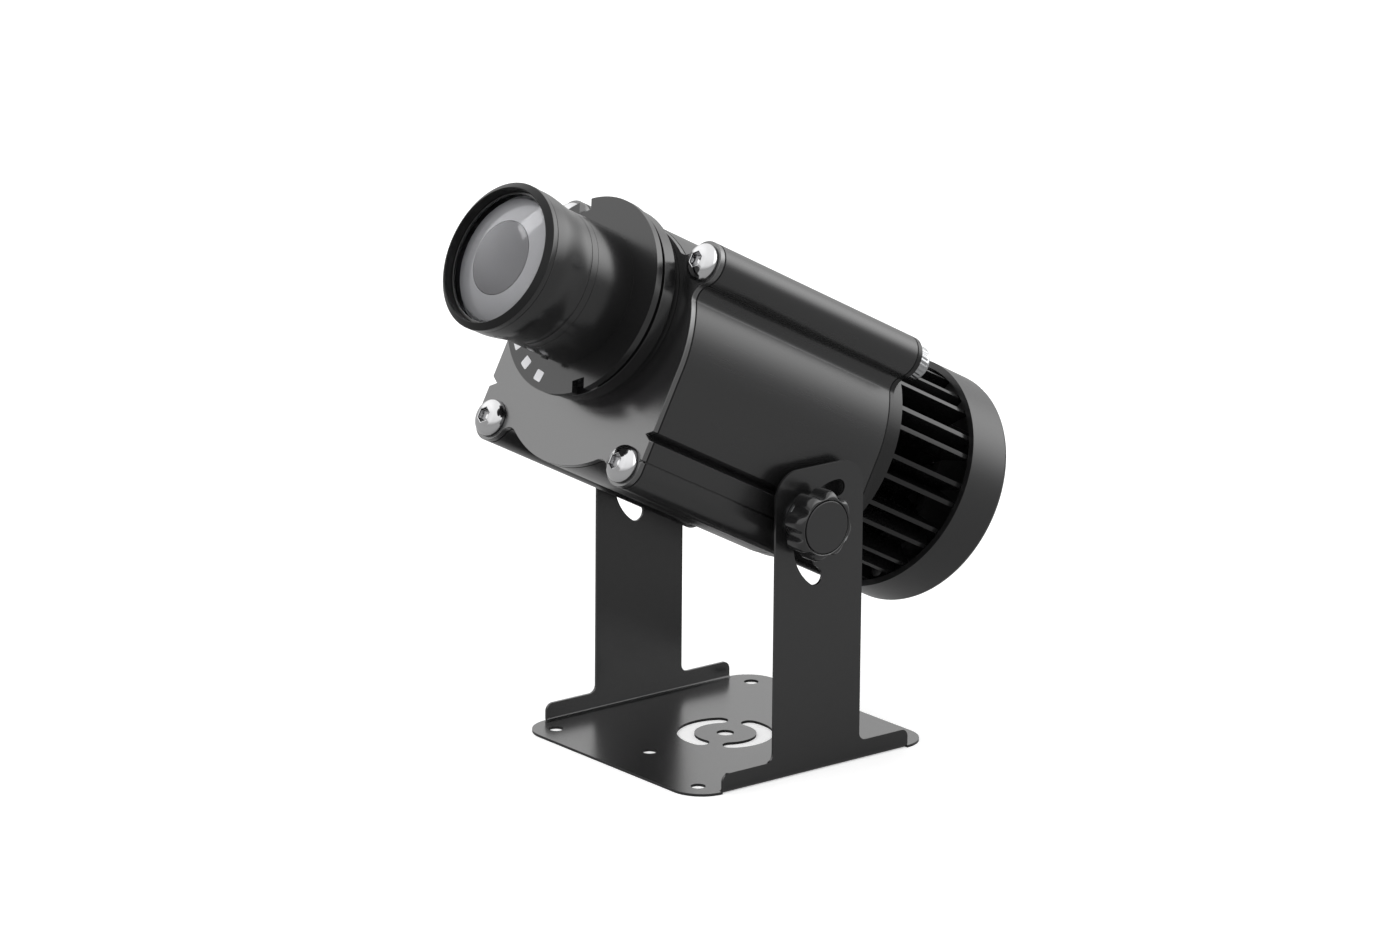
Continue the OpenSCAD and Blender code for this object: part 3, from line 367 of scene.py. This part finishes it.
ink = coat("white_ink", grey(0.78), grey(0.86), (0.35, 0.5), grain=1500, bump=0.1)
mark_turns = np.radians([9.7, 26.7, 43.7])
solid_of("lens_marks", [mark_rings(turn) for turn in mark_turns], "lens_mount", ink)


# Front screws: M8 button heads, polished stainless steel, with a hexagon socket. Behind, M8 socket heads,
# zinc plated, with a knurled edge. Each head is one revolved surface whose socket rings turn hexagonal.
def screw_rings(x, y, seat, out, profile, teeth=24, knurl=0.0):
    """Rings of radius r at height h above the seat, round an axis at x, y.

    A socket ring is a hexagon, r / cos(a) on each flat. A knurl ring is r less a triangle wave of that depth,
    which turns a little with h.
    """
    a = np.linspace(0, 2 * math.pi, ring_points, endpoint=False)
    hexagon = 1 / np.cos((a + math.pi / 6) % (math.pi / 3) - math.pi / 6)
    rings = []
    for r, h, kind in profile:
        radius = r * hexagon if kind == "socket" else np.full_like(a, r)
        if kind == "knurl":
            radius = r - knurl * (1 - np.abs((a * teeth / math.pi + h * 0.15) % 2 - 1))
        z = np.full_like(a, seat + out * h)
        rings.append(np.stack([x + radius * np.cos(a), y + radius * np.sin(a), z], -1))
    return to_head(np.array(rings))


def dome_profile(head_r, head_h, socket, depth):
    """A button head: a short rim, an elliptic dome, then the socket's soft edge, walls and drilled floor.

    The dome ends where the hexagon's corners, further out than its flats, would cut into it.
    """
    rim_h, edge, hex_corner = 0.8, socket / 2, 1.155
    mouth = edge + 0.28
    dome = [(head_r * (0.98 * math.cos(u) + 0.02), rim_h + (head_h - rim_h) * math.sin(u) / 0.978, "")
            for u in np.radians(78) * np.arange(1, 13) / 12]
    return ([(shank_r, -1.0, ""), (head_r - 0.3, 0.0, ""), (head_r, 0.3, ""), (head_r, rim_h, "")] +
            [row for row in dome if row[0] > mouth * hex_corner + 0.1] +
            [(mouth, head_h, "socket"), (edge + 0.08, head_h - 0.1, "socket"),
             (edge, head_h - 0.35, "socket"), (edge, head_h - depth, "socket"),
             (edge * 0.55, head_h - depth - 0.1, ""), (0.1, head_h - depth - 0.7, "")])


def socket_profile(head_r, head_h, socket, depth):
    """A socket head: seat, knurled wall, rounded shoulder, flat top, chamfered hexagon socket."""
    round_r, edge = 0.7, socket / 2
    rows = [(shank_r, -1.0, ""), (head_r - 0.2, 0.0, ""), (head_r, 0.3, "")]
    rows += [(head_r, 0.45 + 0.17 * k, "knurl") for k in range(27)]
    rows += [(head_r - 0.05, head_h - 1.05, ""), (head_r, head_h - 0.9, ""), (head_r, head_h - round_r, "")]
    rows += [(head_r - round_r * (1 - math.cos(u)), head_h - round_r * (1 - math.sin(u)), "")
             for u in np.radians([15, 30, 45, 60, 75, 90])]
    rows += [(edge + 0.4, head_h, "socket"), (edge, head_h - 0.3, "socket"), (edge, head_h - depth, "socket"),
             (edge * 0.55, head_h - depth - 0.1, ""), (0.1, head_h - depth - 0.8, "")]
    return rows


polished = coat("polished_steel", (0.40, 0.40, 0.405), (0.46, 0.46, 0.465), (0.06, 0.12), metallic=1.0,
                bump=0.01)
zinc = coat("zinc_plate", (0.27, 0.275, 0.28), (0.34, 0.345, 0.35), (0.24, 0.34), metallic=1.0, bump=0.03)
steel = coat("turned_steel", (0.26, 0.265, 0.27), (0.34, 0.345, 0.35), (0.24, 0.36), metallic=1.0, bump=0.05)
boss_at, shank_r, ear_back = 38.5, 4.0, -108.0
corners = [(x, y) for x in (-boss_at, boss_at) for y in (-boss_at, boss_at)]
button = dome_profile(head_r=7.0, head_h=4.4, socket=5.0, depth=2.6)
heads = solid_of("front_screw_heads", [screw_rings(x, y, 0.0, 1, button) for x, y in corners], "head",
                 polished, 35)
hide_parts("front_screws")
cap_head = socket_profile(head_r=6.5, head_h=6.5, socket=6.0, depth=3.0)
back_heads = solid_of("rear_screw_heads", [screw_rings(x, y, ear_back, -1, cap_head, knurl=0.28)
                                           for x, y in corners], "head", zinc, 35)
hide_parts("rear_screws")

# Other small metal: steel screws and studs, the gobo disc and its spring ring, and a black oxide stop screw
# under the barrel. The knobs' washers are zinc plated. The spacers between arms and body are nylon.
for name in ("pivot_screws", "collar_screws", "gobo_disc", "gobo_spring", "led_screws", "cap_screws",
             "right_stud", "left_stud"):
    wear(name, steel)
oxide = coat("black_oxide", grey(0.02), grey(0.035), (0.3, 0.4), metallic=0.6)
wear("focus_stop_screw", oxide)
soften("pivot_screws", 0.0002)
soften("cap_screws", 0.0002)
for side in ("right", "left"):
    wear(side + "_clamp_washer", zinc)
    soften(side + "_clamp_washer", 0.00015)
for name in ("pivot_spacers", "clamp_spacers"):
    wear(name, nylon)
    soften(name, 0.0002)


# Star knobs: moulded black plastic with eight soft lobes, screwed on the clamp studs, and a round cap
# pressed into each face. The lobes round over towards the cap, as they do in the photo.
def knob_rings(side, lobes=8, knob_r=13.2, lobe=3.1, valley=10.9, cap_r=10.5):
    """The knob's outline R(a), of lobe arcs and hollow arcs that touch, stacked outwards along the stud.

    Between the arms and the grip's face, R shrinks towards the cap's rim along a quarter ellipse.
    """
    turn = 2 * math.pi / lobes
    lobe_at = knob_r - lobe
    mid, half = lobe_at * math.cos(turn / 2), lobe_at * math.sin(turn / 2)
    rise = valley - mid
    hollow = (rise ** 2 + half ** 2 - lobe ** 2) / (2 * (lobe - rise))
    far = valley + hollow
    a = np.linspace(0, 2 * math.pi, 384, endpoint=False)
    d = (a + turn / 2) % turn - turn / 2
    e = a % turn - turn / 2
    reach = np.array([far * math.cos(turn / 2) - lobe_at, far * math.sin(turn / 2)])
    touch = np.array([lobe_at, 0.0]) + lobe * reach / np.linalg.norm(reach)
    on_lobe = np.abs(d) <= math.atan2(touch[1], touch[0])
    outer = lobe_at * np.cos(d) + np.sqrt(np.maximum(lobe ** 2 - (lobe_at * np.sin(d)) ** 2, 0))
    inner = far * np.cos(e) - np.sqrt(np.maximum(hollow ** 2 - (far * np.sin(e)) ** 2, 0))
    star = np.where(on_lobe, outer, inner)
    hub_in, hub_r, back, out = 54.22, 9.0, 56.0, 65.0
    edge_r, crown, lip, floor_at = 0.9, 3.0, 0.5, 1.15
    flat = 0 * a
    rows = [(hub_r + flat, hub_in), (hub_r + flat, back - 0.3), (hub_r + 0.3 + flat, back)]
    rows += [(star - edge_r * (1 - np.sin(u)), back + edge_r * (1 - np.cos(u)))
             for u in np.radians([10, 30, 50, 70, 90])]
    rows += [(cap_r + (star - cap_r) * np.cos(u), out - crown * (1 - np.sin(u)))
             for u in np.radians(np.linspace(0, 90, 11))]
    rows += [(cap_r - lip * np.sin(u) + flat, out - lip * (1 - np.cos(u))) for u in np.radians([30, 60, 90])]
    rows += [(cap_r - lip + flat, out - floor_at), (1.0 + flat, out - floor_at)]
    r = np.array([row[0] for row in rows])
    depth = np.array([row[1] for row in rows])[:, None] + flat
    t = a + math.radians(14)
    y, z = -pivot_drop + r * np.sin(t), clamp_reach - pivot_set - r * np.cos(t)
    return to_head(np.stack([side * depth, y, z], -1))


clamp_reach = 17.5
knob_black = coat("knob_black", grey(0.009), grey(0.013), (0.18, 0.25), grain=800, bump=0.02)
for side, sign in (("right", 1), ("left", -1)):
    grip = solid_of(side + "_star_grip", [knob_rings(sign)], side + "_knob", knob_black, 40)
    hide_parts(side + "_knob")
    wear(side + "_knob_cap", knob_black)
    soften(side + "_knob_cap", 0.0003)


# Lenses: glass, held by rings. The front one is clear and deeply curved, and one looks through it at the
# pale ring and the second element. The inner ones carry a grey coating, painted shade, that hides what lies
# behind them.
def lens_glass(name, tint, milk, veil):
    """Glass as a mix of tinted see-through and a coating of the colour milk.

    The coating's share grows from veil to 1.5 veil as the glass turns away. Over both lies a mirror skin,
    whose share is 0.6 times the fifth power of how far it turns away.
    """
    m = bpy.data.materials.new(name)
    m.use_nodes = True
    n, link = m.node_tree.nodes, m.node_tree.links.new
    shader = n["Principled BSDF"]
    shader.inputs["Roughness"].default_value = 0.04
    shader.inputs["IOR"].default_value = 1.42
    place, g = n.new("ShaderNodeTexCoord"), n.new("ShaderNodeGroup")
    g.node_tree = speckle
    link(place.outputs["Object"], g.inputs["Vector"])
    g.inputs["Colour A"].default_value = (*milk, 1)
    g.inputs["Colour B"].default_value = (*[min(1, v * 1.12) for v in milk], 1)
    g.inputs["Cloud Scale"].default_value = 30
    g.inputs["Grain Scale"].default_value = 400
    link(g.outputs["Colour"], shader.inputs["Base Color"])
    mirror = n.new("ShaderNodeBsdfGlossy")
    mirror.inputs["Roughness"].default_value = 0.03
    mirror.inputs["Color"].default_value = (0.85, 0.87, 0.9, 1)
    clear = n.new("ShaderNodeBsdfTransparent")
    clear.inputs["Color"].default_value = (*tint, 1)
    mix = n.new("ShaderNodeMixShader")
    edge = n.new("ShaderNodeLayerWeight")
    edge.inputs["Blend"].default_value = 0.3
    amount = n.new("ShaderNodeMapRange")
    amount.inputs["To Min"].default_value = veil
    amount.inputs["To Max"].default_value = min(1.0, veil * 1.5)
    link(edge.outputs["Facing"], amount.inputs["Value"])
    link(amount.outputs["Result"], mix.inputs["Fac"])
    link(clear.outputs["BSDF"], mix.inputs[1])
    link(shader.outputs["BSDF"], mix.inputs[2])
    skin, facing = n.new("ShaderNodeMixShader"), n.new("ShaderNodeLayerWeight")
    steep = n.new("ShaderNodeMath")
    facing.inputs["Blend"].default_value = 0.5
    steep.operation = "POWER"
    steep.inputs[1].default_value = 5
    share = n.new("ShaderNodeMapRange")
    share.inputs["To Min"].default_value = 0.0
    share.inputs["To Max"].default_value = 0.6
    link(facing.outputs["Facing"], steep.inputs[0])
    link(steep.outputs[0], share.inputs["Value"])
    link(share.outputs["Result"], skin.inputs["Fac"])
    link(mix.outputs["Shader"], skin.inputs[1])
    link(mirror.outputs["BSDF"], skin.inputs[2])
    link(skin.outputs["Shader"], n["Material Output"].inputs["Surface"])
    return m


def ball_arc(first, last, apex, ball, steps=18):
    """Points (r, z) on a sphere of that radius whose top is at apex: z = apex - ball + sqrt(ball^2 - r^2)."""
    return [(r, apex - ball + math.sqrt(ball * ball - r * r)) for r in np.linspace(first, last, steps)]


front_glass = lens_glass("coated_front_glass", (0.96, 0.96, 0.966), (0.2, 0.2, 0.2), 0.0)
# The inner glass's opaque grey is painted shade, put in place of what would show through the lenses.
painted_shade_glass = lens_glass("grey_glass_painted_shade", (0.8, 0.82, 0.85), (0.10, 0.10, 0.105), 0.95)
axis_r = 0.05
back_apex, back_ball, face_apex, face_ball = 57.25, 72.7, 58.45, 73.9
bowl_edge = [(23.3, 51.35), (23.5, 51.15), (24.65, 51.15), (24.85, 51.35), (24.85, 54.05)]
bowl = ball_arc(axis_r, 23.2, back_apex, back_ball) + bowl_edge + ball_arc(24.7, axis_r, face_apex, face_ball)
dome = solid_of("front_glass", [lathe(bowl)], "lens_slide", front_glass, 25)
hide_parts("front_lens")
for name in ("inner_lens", "rear_lens", "condenser_lens_front", "condenser_lens_rear"):
    wear(name, painted_shade_glass)

# Behind the front glass: a pale ring that follows its inner face, and in it the second lens element.
# The ring's pale grey is painted light, standing in for the bright band seen in the lens. The element's dark
# grey is painted shade, and it reads as the darker disc in the middle of the lens. Both carry the gloss that
# the photo's lens shows.
# Painted light: this pale grey on the stop ring and its liner stands in for the bright band seen in the lens.
painted_light_grey = coat("stop_ring_painted_light", (0.24, 0.241, 0.245), (0.27, 0.271, 0.276), (0.3, 0.4), clear=0.85)
wear("stop_ring", painted_light_grey)
under_apex, under_ball, liner_t, liner_in, liner_out = 57.1, 72.5, 0.8, 13.95, 22.9
liner = (ball_arc(liner_in, liner_out, under_apex, under_ball, 12) +
         ball_arc(liner_out, liner_in, under_apex - liner_t, under_ball - liner_t, 12))
solid_of("lens_liner_painted_light", [lathe(liner)], "lens_slide", painted_light_grey, 35, loop=True)
element_r, element_back = 13.75, 54.6
element = [(axis_r, element_back), (element_r - 0.35, element_back), (element_r, element_back + 0.3)]
element += ball_arc(element_r, axis_r, under_apex, under_ball, 14)
# Painted shade: the second element is real, but its opaque dark grey stands in for the darker middle of the
# lens.
element_painted_shade = coat("element_grey_painted_shade", (0.090, 0.089, 0.092), (0.107, 0.106, 0.11), (0.3, 0.4), cloud=25,
                bump=0.0, ior=1.2, clear=0.85)
solid_of("second_element", [lathe(element)], "lens_slide", element_painted_shade, 30)

# Inside: an aluminium gobo holder, the circuit boards, the LED and the fan. They show only through the
# cap's grille and the gaps beside the fins.
aluminium = coat("bare_aluminium", (0.6, 0.6, 0.62), (0.7, 0.7, 0.72), (0.3, 0.4), metallic=1.0)
board = coat("circuit_board", (0.02, 0.12, 0.05), (0.03, 0.16, 0.07), (0.4, 0.5))
ceramic = coat("led_ceramic", grey(0.7), grey(0.8), (0.5, 0.6))
phosphor = coat("led_phosphor", (0.7, 0.55, 0.1), (0.8, 0.65, 0.15), (0.1, 0.2))
wear("gobo_holder", aluminium)
wear("led_board", ceramic)
wear("led_emitter", phosphor)
wear("driver_board", board)
for name in ("driver_parts", "fan_frame", "fan_rotor"):
    wear(name, nylon)

# Studio floor: a white sheet. The camera sees it as plain white, apart from the faint shadow under the base,
# and reflections see it a little darker.
edge_at, seen_white, low_grey, lift_to_white = 6, 0.9, 0.66, 0.42
floor_mesh = bpy.data.meshes.new("floor")
floor_mesh.from_pydata([(x * edge_at, y * edge_at, 0) for x, y in ((-1, -1), (1, -1), (1, 1), (-1, 1))], [],
                       [(0, 1, 2, 3)])
floor = bpy.data.objects.new("floor", floor_mesh)
bpy.context.scene.collection.objects.link(floor)
floor_white = bpy.data.materials.new("floor_white")
floor_white.use_nodes = True
floor_nodes, floor_link = floor_white.node_tree.nodes, floor_white.node_tree.links.new
sheet = floor_nodes["Principled BSDF"]
sheet.inputs["Roughness"].default_value = 0.9
sheet.inputs["Specular IOR Level"].default_value = 0.0
sheet.inputs["Emission Color"].default_value = (1, 1, 1, 1)
ray = floor_nodes.new("ShaderNodeLightPath")
seen = floor_nodes.new("ShaderNodeMix")
seen.data_type = "RGBA"
seen.inputs[6].default_value = (seen_white, seen_white, seen_white, 1)
seen.inputs[7].default_value = (low_grey, low_grey, low_grey, 1)
floor_link(ray.outputs["Is Glossy Ray"], seen.inputs["Factor"])
floor_link(seen.outputs[2], sheet.inputs["Base Color"])
lift = floor_nodes.new("ShaderNodeMath")
lift.operation = "MULTIPLY"
lift.inputs[1].default_value = lift_to_white
floor_link(ray.outputs["Is Camera Ray"], lift.inputs[0])
floor_link(lift.outputs[0], sheet.inputs["Emission Strength"])
floor_mesh.materials.append(floor_white)

# Studio walls: even white for the camera and for soft light. Reflections see a grey horizon that brightens
# upwards, with a bright side to the right of the camera and a weaker one to its left.
world = bpy.data.worlds.new("studio")
bpy.context.scene.world = world
world.use_nodes = True
sky_nodes, sky_link = world.node_tree.nodes, world.node_tree.links.new
backdrop = sky_nodes["Background"]
backdrop.inputs["Color"].default_value = (1, 1, 1, 1)
path = sky_nodes.new("ShaderNodeLightPath")
direction, height = sky_nodes.new("ShaderNodeTexCoord"), sky_nodes.new("ShaderNodeSeparateXYZ")
sky_link(direction.outputs["Generated"], height.inputs["Vector"])


def ramp(source, start, end, low, high):
    """low + (high - low) t t (3 - 2 t), with t running from 0 at start to 1 at end."""
    part = sky_nodes.new("ShaderNodeMapRange")
    part.interpolation_type = "SMOOTHSTEP"
    part.inputs["From Min"].default_value = start
    part.inputs["From Max"].default_value = end
    part.inputs["To Min"].default_value = low
    part.inputs["To Max"].default_value = high
    sky_link(source, part.inputs["Value"])
    return part.outputs["Result"]


def total(first, second):
    """The sum of two values."""
    part = sky_nodes.new("ShaderNodeMath")
    part.operation = "ADD"
    sky_link(first, part.inputs[0])
    sky_link(second, part.inputs[1])
    return part.outputs[0]


def side_glow(azimuth, start, end, high):
    """Extra brightness round one direction of the compass, by the cosine of the angle from it."""
    a = math.radians(azimuth)
    part = sky_nodes.new("ShaderNodeVectorMath")
    part.operation = "DOT_PRODUCT"
    part.inputs[1].default_value = (math.sin(a), -math.cos(a), 0)
    sky_link(direction.outputs["Generated"], part.inputs[0])
    return ramp(part.outputs["Value"], start, end, 0, high)


sides = total(side_glow(142, 0.45, 0.95, 3.3), side_glow(-60, 0.3, 0.9, 0.6))
high_sky = total(ramp(height.outputs["Z"], 0.3, 0.9, 0.9, 1.2), sides)
above = sky_nodes.new("ShaderNodeMath")
above.operation = "MULTIPLY"
sky_link(ramp(height.outputs["Z"], 0.0, 0.36, 0.0, 1.0), above.inputs[0])
sky_link(high_sky, above.inputs[1])
low_sky = sky_nodes.new("ShaderNodeValue")
low_sky.outputs[0].default_value = low_grey
sky = total(above.outputs[0], low_sky.outputs[0])
mirror_ray = sky_nodes.new("ShaderNodeMath")
mirror_ray.operation = "MAXIMUM"
sky_link(path.outputs["Is Glossy Ray"], mirror_ray.inputs[0])
sky_link(path.outputs["Is Transmission Ray"], mirror_ray.inputs[1])
level = sky_nodes.new("ShaderNodeMix")
sky_link(mirror_ray.outputs[0], level.inputs["Factor"])
level.inputs["A"].default_value = 1.0
sky_link(sky, level.inputs["B"])
sky_link(level.outputs["Result"], backdrop.inputs["Strength"])


# Key light: one small soft box, high on the left and turned to face the projector. The screws and the
# lens show its highlight.
def away_from(azimuth, elevation):
    """The unit vector at an azimuth from -Y towards +X and an elevation, both in degrees."""
    a, e = math.radians(azimuth), math.radians(elevation)
    return np.array([math.sin(a) * math.cos(e), -math.cos(a) * math.cos(e), math.sin(e)])


aim, distance, away = np.array([-0.01629, 0.0, 0.0996]), 1.2, away_from(-48, 42)
lamp = bpy.data.lights.new("key_left", "AREA")
lamp.shape = "RECTANGLE"
lamp.size, lamp.size_y = 0.21, 0.23
lamp.energy = 0.7
key = bpy.data.objects.new("key_left", lamp)
bpy.context.scene.collection.objects.link(key)
key.location = aim + away * distance
key.rotation_euler = Vector(away).to_track_quat("Z", "Y").to_euler()

# Camera: as fitted to the photo. The fit gave its place, its direction, a slight roll and a focal length
# in the photo's pixels.
azimuth, elevation, roll = 50.87, 15.88, math.radians(0.50)
eye_at, focal_px, photo_width, sensor = (1.77136, -1.45433, 0.75563), 6490.8, 1400, 36.0
behind = away_from(azimuth, elevation)
level_right = np.array([math.cos(math.radians(azimuth)), math.sin(math.radians(azimuth)), 0.0])
level_up = np.cross(behind, level_right)
right = math.cos(roll) * level_right + math.sin(roll) * level_up
up = -math.sin(roll) * level_right + math.cos(roll) * level_up
camera = bpy.data.cameras.new("photo_camera")
camera.sensor_width = sensor
camera.lens = focal_px / photo_width * sensor
camera.clip_start, camera.clip_end = 0.1, 50
eye = bpy.data.objects.new("photo_camera", camera)
bpy.context.scene.collection.objects.link(eye)
pose = np.eye(4)
pose[:3] = np.column_stack([right, up, behind, eye_at])
eye.matrix_world = Matrix(pose.tolist())
bpy.context.scene.camera = eye
bpy.context.scene.view_settings.view_transform = "Standard"
